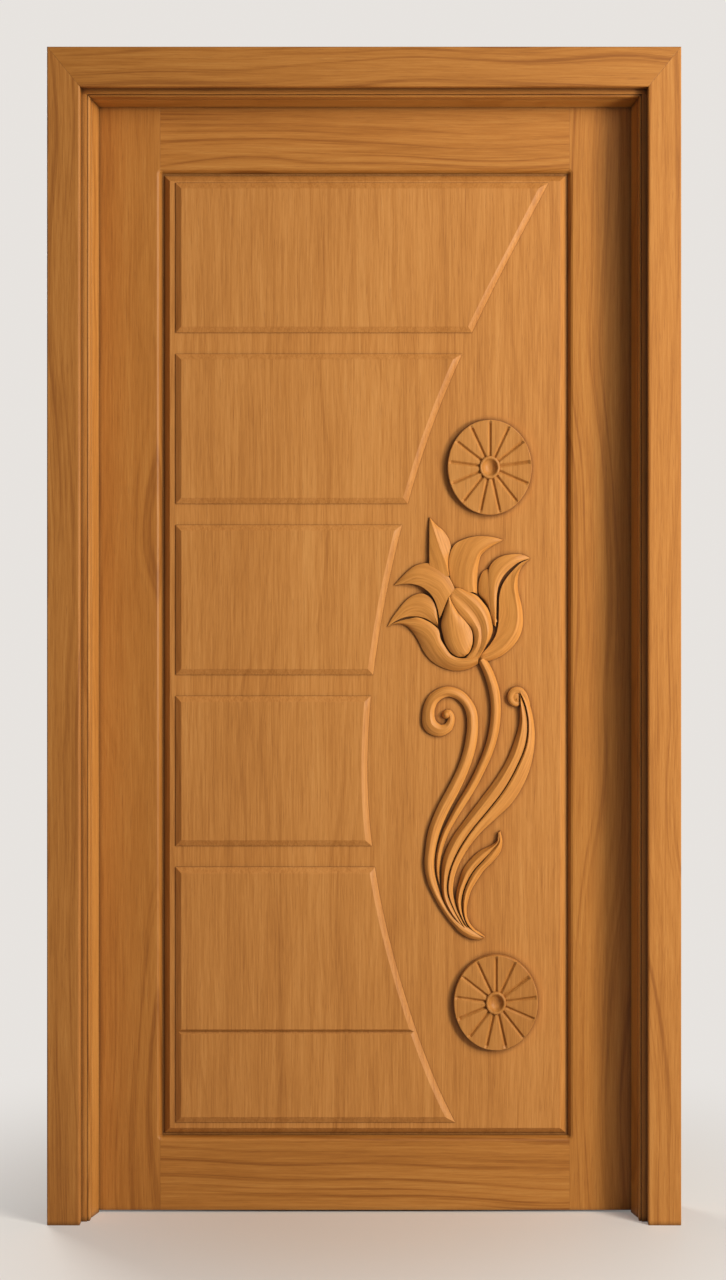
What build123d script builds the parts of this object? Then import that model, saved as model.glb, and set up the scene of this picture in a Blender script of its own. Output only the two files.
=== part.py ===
"""Carved wooden entrance door in its moulded frame: lining, stops, casings, hung leaf, carving.

Millimetres. +Z is up, the front looks along -Y, and +X is to the right seen from the front.
The origin is at the bottom centre of the whole set. The leaf is shown closed.
"""

from build123d import *
from math import cos, pi, sin
import os

# Doorway and wall
clear_w = 1010.6        # clear width between the stops
clear_h = 2100.0        # clear height under the head stop
wall_t = 110.0          # finished wall that the lining spans

# Lining and stops
jamb_t = 28.0           # thickness of the lining boards
housing_d = 8.0         # how far the head board is let into the side boards
rebate_w = 15.3         # width of the rebate that the leaf shuts into
stop_setback = 4.0      # from the lining's front edge to the stop's bead
bead_r = 3.4            # bead on the stop's front edge
stop_nose = 10.0        # how far from the clear opening the stop's fillet stands
splay_setback = 30.0    # from the lining's front edge to the start of the splay
splay_ledge = 1.0       # ledge between the fillet and the splay

# Casings
side_casing_w = 61.2    # width of the upright front casings
head_casing_w = 74.5    # height of the front casing over the doorway
front_casing_t = 26.0
rear_casing_t = 20.0
front_reveal = 10.2     # strip of the lining's edge left bare beside the front casing
rear_clear = 4.0        # from the hinge knuckles to the rear casing
casing_ease = 1.5       # eased edges of the casings
relief_w = 3.0          # relief groove that parts a casing's seat on the lining from its seat on the wall
relief_d = 1.5
relief_gap = 1.0        # from the lining's outer face to that groove

# Leaf
leaf_t = 42.0
leaf_gap = 3.0          # running gap round the leaf's edge
floor_gap = 4.0         # gap under the leaf
stile_w = 131.9         # visible flat plus moulding of each upright
shoulder_back = 3.3     # how far the rail shoulders stand behind the stile's moulded edge
top_rail_h = 137.1
bottom_rail_h = 141.2
moulding_w1 = 4.0       # first, flatter slope of the moulding round the board
moulding_d1 = 2.0
moulding_w2 = 6.0       # second, steeper slope
moulding_d2 = 8.5
moulding_foot_r = 1.0   # round corners that the router leaves at the moulding's foot
tenon_t = 14.0
tenon_len = 70.0
tenon_inset = 22.0      # how far the tenon is cut down from the rail's edges

# Board in the leaf
board_gap = 3.0         # quirk between the moulding and the board's bevel
board_bevel = 11.7
board_quirk = 1.5       # depth of the quirk below the bevel's foot
tongue_t = 12.0
tongue_len = 12.0       # reach of the board's tongue past the moulding's foot
tongue_play = 1.2       # room for the board to swell in its groove
board_back = 8.0        # the board's back stands this far in from the leaf's back

# Raised fields on the board
field_margin = 11.0     # strip of board left bare beside and below the fields
field_top_margin = 3.5
field_count = 5
field_h = 285.0
field_gap = 40.2
field_step = 1.5        # small upright step at the foot of the bevel
field_rise = 6.5        # further rise of the bevel
field_bevel = 11.5
vee_up = 173.3          # V groove across the lowest field, up from that field's foot
vee_w = 9.5
vee_d = 4.0

# Rosettes
rosette_half_w = 79.5
rosette_half_h = 90.0
rosette_t = 13.0
rosette_draft = 2.2     # how far the boss's wall leans in
rosette_grooves = 13
groove_w = 7.2
groove_d = 3.4
groove_rim = 3.0        # rim left whole outside the grooves
hub_half_w = 19.0
hub_rise = 3.0
hub_draft = 2.5
dish_half_w = 13.5
dish_d = 8.0
dish_floor = 0.5        # size of the dish's flat floor as a share of its mouth
upper_rosette_x = 21.2  # centre, to the right of the flower's point
lower_rosette_x = 32.8
bloom_gap = 4.3         # height between the bloom's tip and the upper rosette
stems_gap = 34.9        # height between the foot of the stems and the lower rosette

# Carved tulip and stems, drawn on a grid round the point where the bloom meets its stem
flower_right = 155.2    # from the board's right edge to that point
flower_drop = 10.5      # from the board's mid-height down to it
grid_w = 1.0            # one step of the drawing
bloom_top = 272         # highest tip of the bloom, in steps
stems_foot = 525        # foot of the stems, in steps
tip_w = 1.0             # blunt width of a carved tip
tip_height = 0.6        # share of its wall height that a blade keeps at a tip
# Points of a rounded crown, as shares across a blade and up from its walls
round_crown = ((0.1, 0.5), (0.27, 0.86), (0.5, 1.0), (0.73, 0.86), (0.9, 0.5))
curl_sides = 24
# Long curve that ends the fields, as shares of the board's height and steps left of the flower's point
sweep = ((1.02, -154.2), (0.868, -12.2), (0.754, 78.8), (0.629, 148.8), (0.5, 194.8), (0.389, 210.8),
         (0.27, 195.3), (0.144, 141.8), (0.03, 65.8), (-0.02, 17.8))

# Hinges
hinge_h = 110.0
hinge_plate_t = 2.6
hinge_plate_w = 30.0
knuckle_r = 6.5
knuckle_count = 3
knuckle_play = 0.5
knuckle_clear = 0.3     # from the knuckles to the leaf's back
pin_r = 3.5
pin_play = 0.05
hinge_top_drop = 180.0  # from the leaf's top to the top hinge
hinge_bottom_rise = 226.0

# Fixing holes of the side boards, hidden in the rebate when the door is shut
fixing_r = 4.5
fixing_count = 4
fixing_first_z = 150.0
fixing_last_drop = 165.3  # from the rebate's top to the last hole

# Planes and lines worked out from the driving sizes
depth = front_casing_t + wall_t + rear_casing_t
front_y = -depth / 2
lining_y0 = front_y + front_casing_t
lining_y1 = lining_y0 + wall_t
leaf_y1 = lining_y1
leaf_y0 = leaf_y1 - leaf_t
clear_x = clear_w / 2
rebate_x = clear_x + rebate_w
rebate_z = clear_h + rebate_w
lining_x = rebate_x + jamb_t
lining_z = rebate_z + jamb_t
front_inner = rebate_x + front_reveal
front_inner_z = rebate_z + front_reveal
casing_x = front_inner + side_casing_w
casing_z = front_inner_z + head_casing_w
rear_inner = rebate_x - leaf_gap / 2 + knuckle_r + rear_clear
rear_inner_z = rebate_z - leaf_gap / 2 + knuckle_r + rear_clear
leaf_x = rebate_x - leaf_gap
leaf_z1 = rebate_z - leaf_gap
moulding_w = moulding_w1 + moulding_w2
moulding_d = moulding_d1 + moulding_d2
inner_x = leaf_x - stile_w
inner_z0 = floor_gap + bottom_rail_h
inner_z1 = leaf_z1 - top_rail_h
shoulder_x = inner_x + shoulder_back
foot_x = inner_x - board_gap
foot_z0 = inner_z0 + board_gap
foot_z1 = inner_z1 - board_gap
board_x = foot_x - board_bevel
board_z0 = foot_z0 + board_bevel
board_z1 = foot_z1 - board_bevel
tongue_y0 = leaf_y0 + moulding_d + board_quirk
pin_x = -(rebate_x - leaf_gap / 2)
pin_y = leaf_y1 + knuckle_r + knuckle_clear
flower_x = board_x - flower_right
flower_z = (board_z0 + board_z1) / 2 - flower_drop


def block(x0, x1, y0, y1, z0, z1):
    """A box between two corners."""
    middle = Pos((x0 + x1) / 2, (y0 + y1) / 2, (z0 + z1) / 2)
    return middle * Box(abs(x1 - x0), abs(y1 - y0), abs(z1 - z0))


def front_plane(y):
    """Plane at depth y facing the viewer: local x to the right, local y up, local z to the front."""
    return Plane(origin=(0, y, 0), x_dir=(1, 0, 0), z_dir=(0, -1, 0))


def upright_face(points, y):
    """A face towards the viewer from (x, z) points at one depth."""
    return make_face(Polyline(*[(x, y, z) for x, z in points], close=True))


def frustum(y_foot, y_top, foot, top):
    """Straight-sided solid between two rectangles (x0, x1, z0, z1), each facing the viewer."""
    outlines = []
    for y, (x0, x1, z0, z1) in ((y_foot, foot), (y_top, top)):
        outlines.append(upright_face([(x0, z0), (x1, z0), (x1, z1), (x0, z1)], y))
    return loft(outlines, ruled=True)


# Lining


def fixing_holes():
    """Through holes in the left side board, in the rebate."""
    holes = []
    pitch = (rebate_z - fixing_last_drop - fixing_first_z) / (fixing_count - 1)
    for i in range(fixing_count):
        place = Location((-lining_x, (leaf_y0 + leaf_y1) / 2, fixing_first_z + i * pitch), (0, 90, 0))
        holes.append(place * Cylinder(fixing_r, 4 * jamb_t))
    return holes


def side_jamb():
    """Left side board, with the housing for the head board."""
    board = block(-lining_x, -rebate_x, lining_y0, lining_y1, 0, lining_z)
    board -= block(-rebate_x - housing_d, 0, lining_y0, lining_y1, rebate_z, lining_z)
    return board - fixing_holes()


def head_jamb():
    half = rebate_x + housing_d
    return block(-half, half, lining_y0, lining_y1, rebate_z, lining_z)


# Mitred mouldings


def stop_section():
    """Stop with bead, fillet and splay, as (distance outside the clear opening, y)."""
    bead_y = lining_y0 + stop_setback + bead_r
    splay_y = lining_y0 + splay_setback
    splay_x = stop_nose - splay_ledge
    bead = CenterArc((stop_nose + bead_r, bead_y), bead_r, 180, 90)
    path = [
        bead,
        Polyline(bead @ 0, (stop_nose, splay_y), (splay_x, splay_y), (0, leaf_y0), (rebate_w, leaf_y0)),
        Polyline((rebate_w, leaf_y0), (rebate_w, bead_y - bead_r), bead @ 1),
    ]
    return make_face(path)


def casing_section(width, cover, y_face, y_back):
    """Flat casing as (distance outside its inner edge, y): eased face, relief groove in its back."""
    groove_y = y_back + (relief_d if y_face > y_back else -relief_d)
    start = cover + relief_gap
    groove = [(start + relief_w, y_back), (start + relief_w, groove_y), (start, groove_y), (start, y_back)]
    outline = make_face(Polyline((0, y_back), (0, y_face), (width, y_face), (width, y_back), *groove, close=True))
    eased = [v for v in outline.vertices() if abs(v.Y - y_face) < casing_ease / 2]
    return chamfer(eased, casing_ease)


def moulded_set(side_section, head_section, inner, outer):
    """Left, right and head lengths, mitred on the line through the inner and outer (x, z) corners."""
    side_plane = Plane(origin=(-inner[0], 0, 0), x_dir=(-1, 0, 0), z_dir=(0, 0, -1))
    head_plane = Plane(origin=(0, 0, inner[1]), x_dir=(0, 0, 1), z_dir=(-1, 0, 0))
    over = 0.5
    run, rise = outer[0] - inner[0], outer[1] - inner[1]
    low = (inner[0] - over * run, inner[1] - over * rise)
    high = (outer[0] + over * run, outer[1] + over * rise)
    side_view = [(-low[0], low[1]), (-high[0], high[1]), (-high[0], -rise), (-low[0], -rise)]
    head_view = [(-low[0], low[1]), (-high[0], high[1]), high, low]
    side = extrude(side_plane * side_section, amount=-high[1])
    side &= extrude(upright_face(side_view, -depth), amount=2 * depth, dir=(0, 1, 0))
    head = extrude(head_plane * head_section, amount=high[0], both=True)
    head &= extrude(upright_face(head_view, -depth), amount=2 * depth, dir=(0, 1, 0))
    return side, mirror(side, about=Plane.YZ), head


def stops():
    section = stop_section()
    return moulded_set(section, section, (clear_x, clear_h), (rebate_x, rebate_z))


def casings(inner, y_face, y_back):
    """Three casings whose back seats on the lining's edge and on the wall."""
    outer = (casing_x, casing_z)
    side = casing_section(outer[0] - inner[0], lining_x - inner[0], y_face, y_back)
    head = casing_section(outer[1] - inner[1], lining_z - inner[1], y_face, y_back)
    return moulded_set(side, head, inner, outer)


# Leaf frame


def router_cut():
    """What the router takes off round the board: two slopes with round corners."""
    grow = (moulding_w, moulding_w - moulding_w1, 0)
    steps = (leaf_y0, leaf_y0 + moulding_d1, leaf_y0 + moulding_d)
    middle_z = (inner_z0 + inner_z1) / 2
    faces = []
    for out, y in zip(grow, steps):
        size = (2 * (inner_x + out), inner_z1 - inner_z0 + 2 * out)
        corner = moulding_foot_r + out
        place = Plane(origin=(0, y, middle_z), x_dir=(1, 0, 0), z_dir=(0, -1, 0))
        faces.append(place * RectangleRounded(*size, corner))
    return loft(faces[:2], ruled=True) + loft(faces[1:], ruled=True)


def board_groove():
    """Groove for the board's tongue, all round the inside of the leaf's frame."""
    reach = tongue_len + tongue_play
    z0, z1 = inner_z0 - reach, inner_z1 + reach
    return block(-inner_x - reach, inner_x + reach, tongue_y0, tongue_y0 + tongue_t, z0, z1)


def tenons(z0, z1):
    """Tenons at both ends of a rail, as one long bar."""
    middle = (leaf_y0 + leaf_y1) / 2
    half = shoulder_x + tenon_len
    low, high = z0 + tenon_inset, z1 - tenon_inset
    return block(-half, half, middle - tenon_t / 2, middle + tenon_t / 2, low, high)


def rail(z0, z1):
    body = block(-shoulder_x, shoulder_x, leaf_y0, leaf_y1, z0, z1) + tenons(z0, z1)
    return body - router_cut() - board_groove()


def stile():
    """Left upright, moulded beside the board and cut back behind the moulding at the rails."""
    body = block(-leaf_x, -shoulder_x, leaf_y0, leaf_y1, floor_gap, leaf_z1)
    body += block(-shoulder_x, -inner_x, leaf_y0, leaf_y1, inner_z0, inner_z1)
    body -= [tenons(floor_gap, inner_z0), tenons(inner_z1, leaf_z1)]
    return body - router_cut() - board_groove()


def board():
    """Centre board: bevelled front, tongue all round, plain back."""
    foot = (-foot_x, foot_x, foot_z0, foot_z1)
    top = (-board_x, board_x, board_z0, board_z1)
    bevel_y = leaf_y0 + moulding_d
    solid = frustum(bevel_y, leaf_y0, foot, top)
    solid += block(-foot_x, foot_x, bevel_y, leaf_y1 - board_back, foot_z0, foot_z1)
    reach = tongue_len
    z0, z1 = inner_z0 - reach, inner_z1 + reach
    solid += block(-inner_x - reach, inner_x + reach, tongue_y0, tongue_y0 + tongue_t, z0, z1)
    return solid


# Raised fields


def sweep_point(share, steps):
    return (flower_x - steps * grid_w, board_z0 + share * (board_z1 - board_z0))


def sweep_curve(inset):
    """The long curve that ends the fields, moved inwards by an inset."""
    points = [Vector(*sweep_point(*point)) for point in sweep]
    line = Spline(*points)
    moved = []
    for point in points:
        along = (line % line.param_at_point(point)).normalized()
        moved.append(point + Vector(along.Y, -along.X) * inset)
    return Spline(*moved)


def field_outline(z0, z1, inset):
    """Flat outline of one field, cut on the right by the long curve, all drawn in by an inset."""
    curve = sweep_curve(inset)
    left = field_margin - board_x
    plan = make_face([curve, Polyline(curve @ 1, (left, (curve @ 1).Y), (left, (curve @ 0).Y), curve @ 0)])
    band = Pos(0, (z0 + z1) / 2) * Rectangle(2 * (board_x - field_margin - inset), z1 - z0 - 2 * inset)
    return plan & band


def raised_field(z0, z1):
    """One field: small step, then a bevel up to a flat top."""
    foot = field_outline(z0, z1, 0)
    top = field_outline(z0, z1, field_bevel)
    low = front_plane(leaf_y0 - field_step) * foot
    high = front_plane(leaf_y0 - field_step - field_rise) * top
    step = extrude(front_plane(leaf_y0) * foot, amount=field_step)
    return step + loft([low.face(), high.face()], ruled=True)


def fields():
    top = board_z1 - field_top_margin
    solids = []
    for i in range(field_count):
        high = top - i * (field_h + field_gap)
        last = i == field_count - 1
        low = board_z0 + field_margin if last else high - field_h
        solids.append(raised_field(low, high))
        if last:
            solids[-1] -= vee_groove(low + vee_up)
    return solids


def vee_groove(z):
    top_y = leaf_y0 - field_step - field_rise
    across = 2 * board_x
    corners = [(-across, top_y, z - vee_w / 2), (-across, top_y, z + vee_w / 2), (-across, top_y + vee_d, z)]
    outline = make_face(Polyline(*corners, close=True))
    return extrude(outline, amount=2 * across, dir=(1, 0, 0))


# Rosettes


def oval_boss(rx, rz, rise, draft):
    """Oval standing on the local plane, its wall leaning in by the draft."""
    return loft([Ellipse(rx, rz), Pos(0, 0, rise) * Ellipse(rx - draft, rz - draft)], ruled=True)


def rosette(x, z):
    """Oval boss with radial V grooves, and a hub ring round a dish."""
    boss = oval_boss(rosette_half_w, rosette_half_h, rosette_t, rosette_draft)
    groove_z = rosette_t - groove_d
    for i in range(rosette_grooves):
        boss -= Pos(0, 0, groove_z) * radial_groove(pi / 2 + i * 2 * pi / rosette_grooves)
    ratio = rosette_half_h / rosette_half_w
    boss += Pos(0, 0, groove_z) * oval_boss(hub_half_w, hub_half_w * ratio, groove_d + hub_rise, hub_draft)
    mouth = Pos(0, 0, rosette_t + hub_rise) * Ellipse(dish_half_w, dish_half_w * ratio)
    boss -= loft([mouth, Pos(0, 0, -dish_d) * scale(mouth, by=(dish_floor, dish_floor, 1))], ruled=True)
    return front_plane(leaf_y0) * Pos(x, z) * boss


def radial_groove(angle):
    """V groove from the hub to the rim, its bottom on the local plane and its mouth groove_d above."""
    direction = Vector(rosette_half_w * cos(angle), rosette_half_h * sin(angle), 0)
    place = Plane(origin=(0, 0, 0), x_dir=direction.cross(Vector(0, 0, -1)), z_dir=direction)
    section = make_face(Polyline((0, 0), (groove_w / 2, groove_d), (-groove_w / 2, groove_d), close=True))
    return extrude(place * section, amount=direction.length - rosette_draft - groove_rim)


# Carving


def flower_point(point, height):
    """A place on the board from a point of the drawing and a height proud of the board, in steps."""
    return Vector(flower_x + point.X * grid_w, leaf_y0 - height * grid_w, flower_z + point.Y * grid_w)


def carved_section(left, right, wall, crown, ridge):
    """Corners of a cut across a blade: upright walls under a rounded crown, or under two facets."""
    shape = round_crown if ridge is None else ((ridge, 1.0),)
    corners = [flower_point(left, 0), flower_point(left, wall)]
    for share, rise in shape:
        corners.append(flower_point(left + (right - left) * share, wall + (crown - wall) * rise))
    return corners + [flower_point(right, wall), flower_point(right, 0)]


def facet(*corners):
    return Face(Wire.make_polygon(corners, close=True))


def faceted(sections):
    """Solid of flat facets through sections with as many corners each."""
    facets = [facet(*sections[0]), facet(*sections[-1])]
    for near, far in zip(sections, sections[1:]):
        for i in range(len(near)):
            facets.append(facet(near[i - 1], near[i], far[i]))
            facets.append(facet(near[i - 1], far[i], far[i - 1]))
    return Solid(Shell(facets))


def blade(pairs, wall, crown, ridge=None):
    """Solid through sections between pairs of edge points, lower and thinner where it narrows."""
    widest = max((right - left).length for left, right in pairs)
    sections = []
    for left, right in pairs:
        share = (right - left).length / widest
        height = wall * (tip_height + (1 - tip_height) * min(1, 3 * share))
        sections.append(carved_section(left, right, height, height + (crown - wall) * share, ridge))
    return faceted(sections)


def petal(left, right, wall, crown, ridge=None, stations=15):
    """Blade between two edges, each a curve through points from its base to its tip."""
    left_edge, right_edge = Spline(*left), Spline(*right)
    pairs = []
    for i in range(stations):
        t = i / (stations - 1)
        a, b = left_edge @ t, right_edge @ t
        if (b - a).length < tip_w / grid_w:
            along = (left_edge % t) + (right_edge % t)
            across = Vector(along.Y, -along.X) * (tip_w / grid_w / 2 / along.length)
            a, b = (a + b) / 2 - across, (a + b) / 2 + across
        pairs.append((a, b))
    return blade(pairs, wall, crown, ridge)


def strand(route, wall, crown, ridge=None):
    """Blade along a route of (x, z, half width), with a section at each point and between them."""
    line = Spline(*route)
    places = [line.param_at_point(Vector(*point)) for point in route]
    places += [(a + b) / 2 for a, b in zip(places, places[1:])]
    pairs = []
    for place in sorted(places):
        point, along = line @ place, line % place
        across = Vector(along.Y, -along.X).normalized() * point.Z
        middle = Vector(point.X, point.Y)
        pairs.append((middle - across, middle + across))
    return blade(pairs, wall, crown, ridge)


def bloom():
    """Tulip bloom, its petals from the back ones to the front ones."""
    spike = petal(
        [(-97, 150), (-97, 228), (-95, 272)],
        [(-50, 150), (-53, 215), (-69, 245), (-95, 272)], 5, 12, ridge=0.5)
    back = petal(
        [(-40, 120), (-57, 165), (-53, 208), (-25, 230), (14, 236), (46, 230)],
        [(-1, 110), (-6, 150), (0, 190), (20, 215), (46, 230)], 6, 10, ridge=0.75)
    right_inner = petal(
        [(-16, 30), (-9, 86), (0, 129), (3, 158), (22, 181), (50, 199), (75, 200), (99, 193)],
        [(2, 6), (22, 25), (36, 53), (36, 103), (40, 145), (58, 173), (79, 188), (99, 193)], 8, 14, ridge=0.6)
    right_outer = petal(
        [(-8, 10), (14, 33), (26, 62), (28, 112), (36, 150), (60, 177), (97, 192)],
        [(-4, -4), (45, 8), (73, 34), (85, 76), (79, 124), (77, 160), (87, 183), (99, 192)], 3, 12, ridge=0.75)
    upper_left = petal(
        [(-70, 60), (-79, 103), (-98, 132), (-128, 145), (-161, 142)],
        [(-36, 130), (-66, 170), (-100, 185), (-134, 172), (-162, 143)], 9, 15)
    middle_left = petal(
        [(-50, 40), (-85, 55), (-120, 64), (-148, 67), (-164, 66)],
        [(-56, 76), (-66, 104), (-98, 126), (-132, 118), (-164, 70)], 6, 12)
    lower_left = petal(
        [(3, 0), (-35, -20), (-77, -11), (-109, 23), (-132, 61), (-151, 71), (-172, 64)],
        [(-6, 10), (-33, 6), (-58, 23), (-73, 57), (-102, 80), (-140, 82), (-172, 65)], 9, 16)
    wrap = petal(
        [(-20, 8), (-24, 40), (-40, 90), (-56, 136)],
        [(-2, 9), (20, 34), (25, 70), (10, 106), (-16, 129), (-50, 139)], 11, 19)
    drop = petal(
        [(-33, 5), (-53, 19), (-68, 51), (-69, 91), (-56, 127)],
        [(-31, 5), (-11, 29), (-14, 57), (-33, 77), (-54, 127)], 14, 21)
    return spike + [back, right_inner, right_outer, upper_left, middle_left, lower_left, wrap, drop]


def scroll_stems():
    """Main stem, left volute, double leaf with its curl, and small leaf, joined in one point."""
    main = strand(
        [(10, -8, 7.5), (22, -30, 9.5), (30, -55, 10), (33, -89, 9.5), (30, -127, 9), (21, -165, 9),
         (5, -203, 8), (-13, -241, 8), (-31, -280, 7.5), (-50, -318, 7), (-66, -356, 6), (-74, -384, 5.5),
         (-78, -413, 4), (-75, -430, 2.5)],
        4, 13, ridge=0.35)
    volute = strand(
        [(-61, -105, 6), (-50, -112, 6), (-57, -127, 8.5), (-73, -133, 12), (-89, -125, 13), (-96, -102, 11.5),
         (-91, -79, 10.5), (-78, -65, 10), (-59, -59, 9.5), (-40, -65, 10), (-24, -80, 10), (-13, -101, 10),
         (-10, -127, 9.5), (-11, -154, 9), (-19, -183, 8.5), (-32, -215, 8.5), (-49, -251, 8.5),
         (-65, -289, 8.5), (-79, -331, 7.5), (-87, -373, 6), (-84, -403, 5), (-70, -443, 5), (-50, -479, 5.5),
         (-24, -508, 6), (10, -525, 1)],
        5, 13, ridge=0.4)
    leaf_outer = petal(
        [(84, -66), (93, -118), (88, -160), (69, -205), (44, -247), (16, -285), (-15, -323), (-40, -361),
         (-57, -403), (-60, -443), (-48, -479), (-26, -504)],
        [(82, -54), (95, -78), (105, -114), (106, -156), (99, -202), (84, -240), (63, -272), (35, -299),
         (3, -329), (-22, -365), (-42, -407), (-48, -443), (-37, -472), (-16, -498)], 4, 12, ridge=0.35,
        stations=25)
    leaf_inner = petal(
        [(86, -86), (84, -133), (72, -171), (51, -209), (26, -247), (-3, -285), (-34, -323), (-55, -361),
         (-68, -399), (-68, -437), (-51, -475), (-31, -500)],
        [(89, -82), (97, -118), (92, -160), (73, -205), (48, -247), (20, -285), (-11, -323), (-36, -361),
         (-53, -403), (-56, -443), (-44, -479), (-22, -504)], 4, 12, ridge=0.4, stations=25)
    small_leaf = petal(
        [(39, -324), (37, -340), (14, -358), (-14, -382), (-36, -418), (-42, -453), (-33, -485), (-5, -520)],
        [(42, -322), (46, -346), (40, -373), (14, -401), (-10, -430), (-20, -466), (-15, -500), (11, -525)],
        4, 12, ridge=0.45)
    curls = [curl(-61, -105, 8.5, 9, 12), curl(71, -71, 14, 19, 11)]
    return main + [volute, leaf_outer, leaf_inner, small_leaf] + curls


def curl(x, z, rx, rz, rise):
    """Round button at the heart of a scroll, narrower at its top."""
    sections = []
    for share, height in ((1, 0), (1, rise / 2), (0.75, rise)):
        turns = [2 * pi * i / curl_sides for i in range(curl_sides)]
        ring = [Vector(x + rx * share * cos(turn), z + rz * share * sin(turn)) for turn in turns]
        sections.append([flower_point(point, height) for point in ring])
    return faceted(sections)


# Hinges


def knuckle_spans(z, first):
    """Heights of every second knuckle of the hinge at z, from the first given."""
    length = (hinge_h - (knuckle_count - 1) * knuckle_play) / knuckle_count
    lows = [z - hinge_h / 2 + i * (length + knuckle_play) for i in range(first, knuckle_count, 2)]
    return [(low, low + length) for low in lows]


def hinge_plate(z, x0, x1, first):
    """Plate between x0 and x1 with its knuckles round the pin's axis."""
    plate = block(x0, x1, leaf_y1 - hinge_plate_w, leaf_y1, z - hinge_h / 2, z + hinge_h / 2)
    for low, high in knuckle_spans(z, first):
        plate += block(x0, x1, leaf_y1, pin_y - pin_r, low, high)
        plate += Pos(pin_x, pin_y, (low + high) / 2) * Cylinder(knuckle_r, high - low)
    return plate


def plate_recess(z, x0, x1):
    return block(x0, x1, leaf_y1 - hinge_plate_w, leaf_y1, z - hinge_h / 2, z + hinge_h / 2)


# Assembly

hinge_top_z = leaf_z1 - hinge_top_drop - hinge_h / 2
hinge_bottom_z = floor_gap + hinge_bottom_rise + hinge_h / 2
hinge_levels = {"top": hinge_top_z, "middle": (hinge_top_z + hinge_bottom_z) / 2, "bottom": hinge_bottom_z}


def build():
    """Every piece by name."""
    pieces = {}
    jamb = side_jamb()
    pieces["jamb_right"] = mirror(jamb, about=Plane.YZ)
    pieces["jamb_head"] = head_jamb()
    plain_stile = stile()
    pieces["stile_opening"] = mirror(plain_stile, about=Plane.YZ)
    frame_x, leaf_edge = -rebate_x - hinge_plate_t, -leaf_x + hinge_plate_t
    for level, z in hinge_levels.items():
        pin = Pos(pin_x, pin_y, z) * Cylinder(pin_r, hinge_h)
        bore = Pos(pin_x, pin_y, z) * Cylinder(pin_r + pin_play, 2 * hinge_h)
        pieces[f"hinge_{level}_frame_plate"] = hinge_plate(z, frame_x, -rebate_x, 0) + pin
        pieces[f"hinge_{level}_leaf_plate"] = hinge_plate(z, -leaf_x, leaf_edge, 1) - bore
        jamb -= plate_recess(z, frame_x, -rebate_x)
        plain_stile -= plate_recess(z, -leaf_x, leaf_edge)
    pieces["jamb_left"] = jamb
    pieces["stile_hinge"] = plain_stile
    front = casings((front_inner, front_inner_z), front_y, lining_y0)
    rear = casings((rear_inner, rear_inner_z), -front_y, lining_y1)
    for name, trio in (("stop", stops()), ("front_casing", front), ("rear_casing", rear)):
        for side, piece in zip(("left", "right", "head"), trio):
            pieces[f"{name}_{side}"] = piece
    pieces["rail_top"] = rail(inner_z1, leaf_z1)
    pieces["rail_bottom"] = rail(floor_gap, inner_z0)
    pieces["board"] = board()
    for i, field in enumerate(fields(), start=1):
        pieces[f"raised_field_{i}"] = field
    above = bloom_top * grid_w + bloom_gap + rosette_half_h
    below = stems_foot * grid_w + stems_gap + rosette_half_h
    pieces["rosette_upper"] = rosette(flower_x + upper_rosette_x, flower_z + above)
    pieces["rosette_lower"] = rosette(flower_x + lower_rosette_x, flower_z - below)
    pieces["tulip_bloom"] = bloom()
    pieces["scroll_stems"] = scroll_stems()
    return pieces


os.makedirs("parts", exist_ok=True)
for name, piece in build().items():
    export_step(piece, f"parts/{name}.step")
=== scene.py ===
from math import atan2, cos, hypot, pi, radians, sin

import bmesh
import bpy
from mathutils import Matrix, Vector


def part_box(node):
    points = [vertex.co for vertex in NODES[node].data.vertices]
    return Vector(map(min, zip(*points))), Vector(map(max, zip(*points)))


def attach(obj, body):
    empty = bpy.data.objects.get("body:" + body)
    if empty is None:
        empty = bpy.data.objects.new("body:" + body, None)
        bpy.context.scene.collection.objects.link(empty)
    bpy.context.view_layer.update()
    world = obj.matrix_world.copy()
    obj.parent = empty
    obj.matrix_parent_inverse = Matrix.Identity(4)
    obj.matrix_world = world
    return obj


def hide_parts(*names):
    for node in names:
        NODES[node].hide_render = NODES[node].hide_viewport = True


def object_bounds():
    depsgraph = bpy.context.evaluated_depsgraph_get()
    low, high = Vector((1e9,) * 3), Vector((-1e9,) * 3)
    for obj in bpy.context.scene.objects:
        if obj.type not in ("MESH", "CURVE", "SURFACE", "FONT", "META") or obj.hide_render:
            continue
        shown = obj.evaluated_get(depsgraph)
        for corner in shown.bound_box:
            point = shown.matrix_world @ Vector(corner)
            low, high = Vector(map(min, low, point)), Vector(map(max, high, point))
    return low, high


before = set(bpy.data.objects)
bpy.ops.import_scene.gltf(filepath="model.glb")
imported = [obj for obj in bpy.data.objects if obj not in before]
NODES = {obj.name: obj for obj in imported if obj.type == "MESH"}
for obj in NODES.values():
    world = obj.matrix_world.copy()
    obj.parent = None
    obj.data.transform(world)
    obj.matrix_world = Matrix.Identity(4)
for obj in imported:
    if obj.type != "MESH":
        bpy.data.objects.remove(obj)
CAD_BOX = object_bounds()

LEAF_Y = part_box("rail_top")[0].y        # front face of the leaf
MM = 0.001


# Materials

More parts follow.
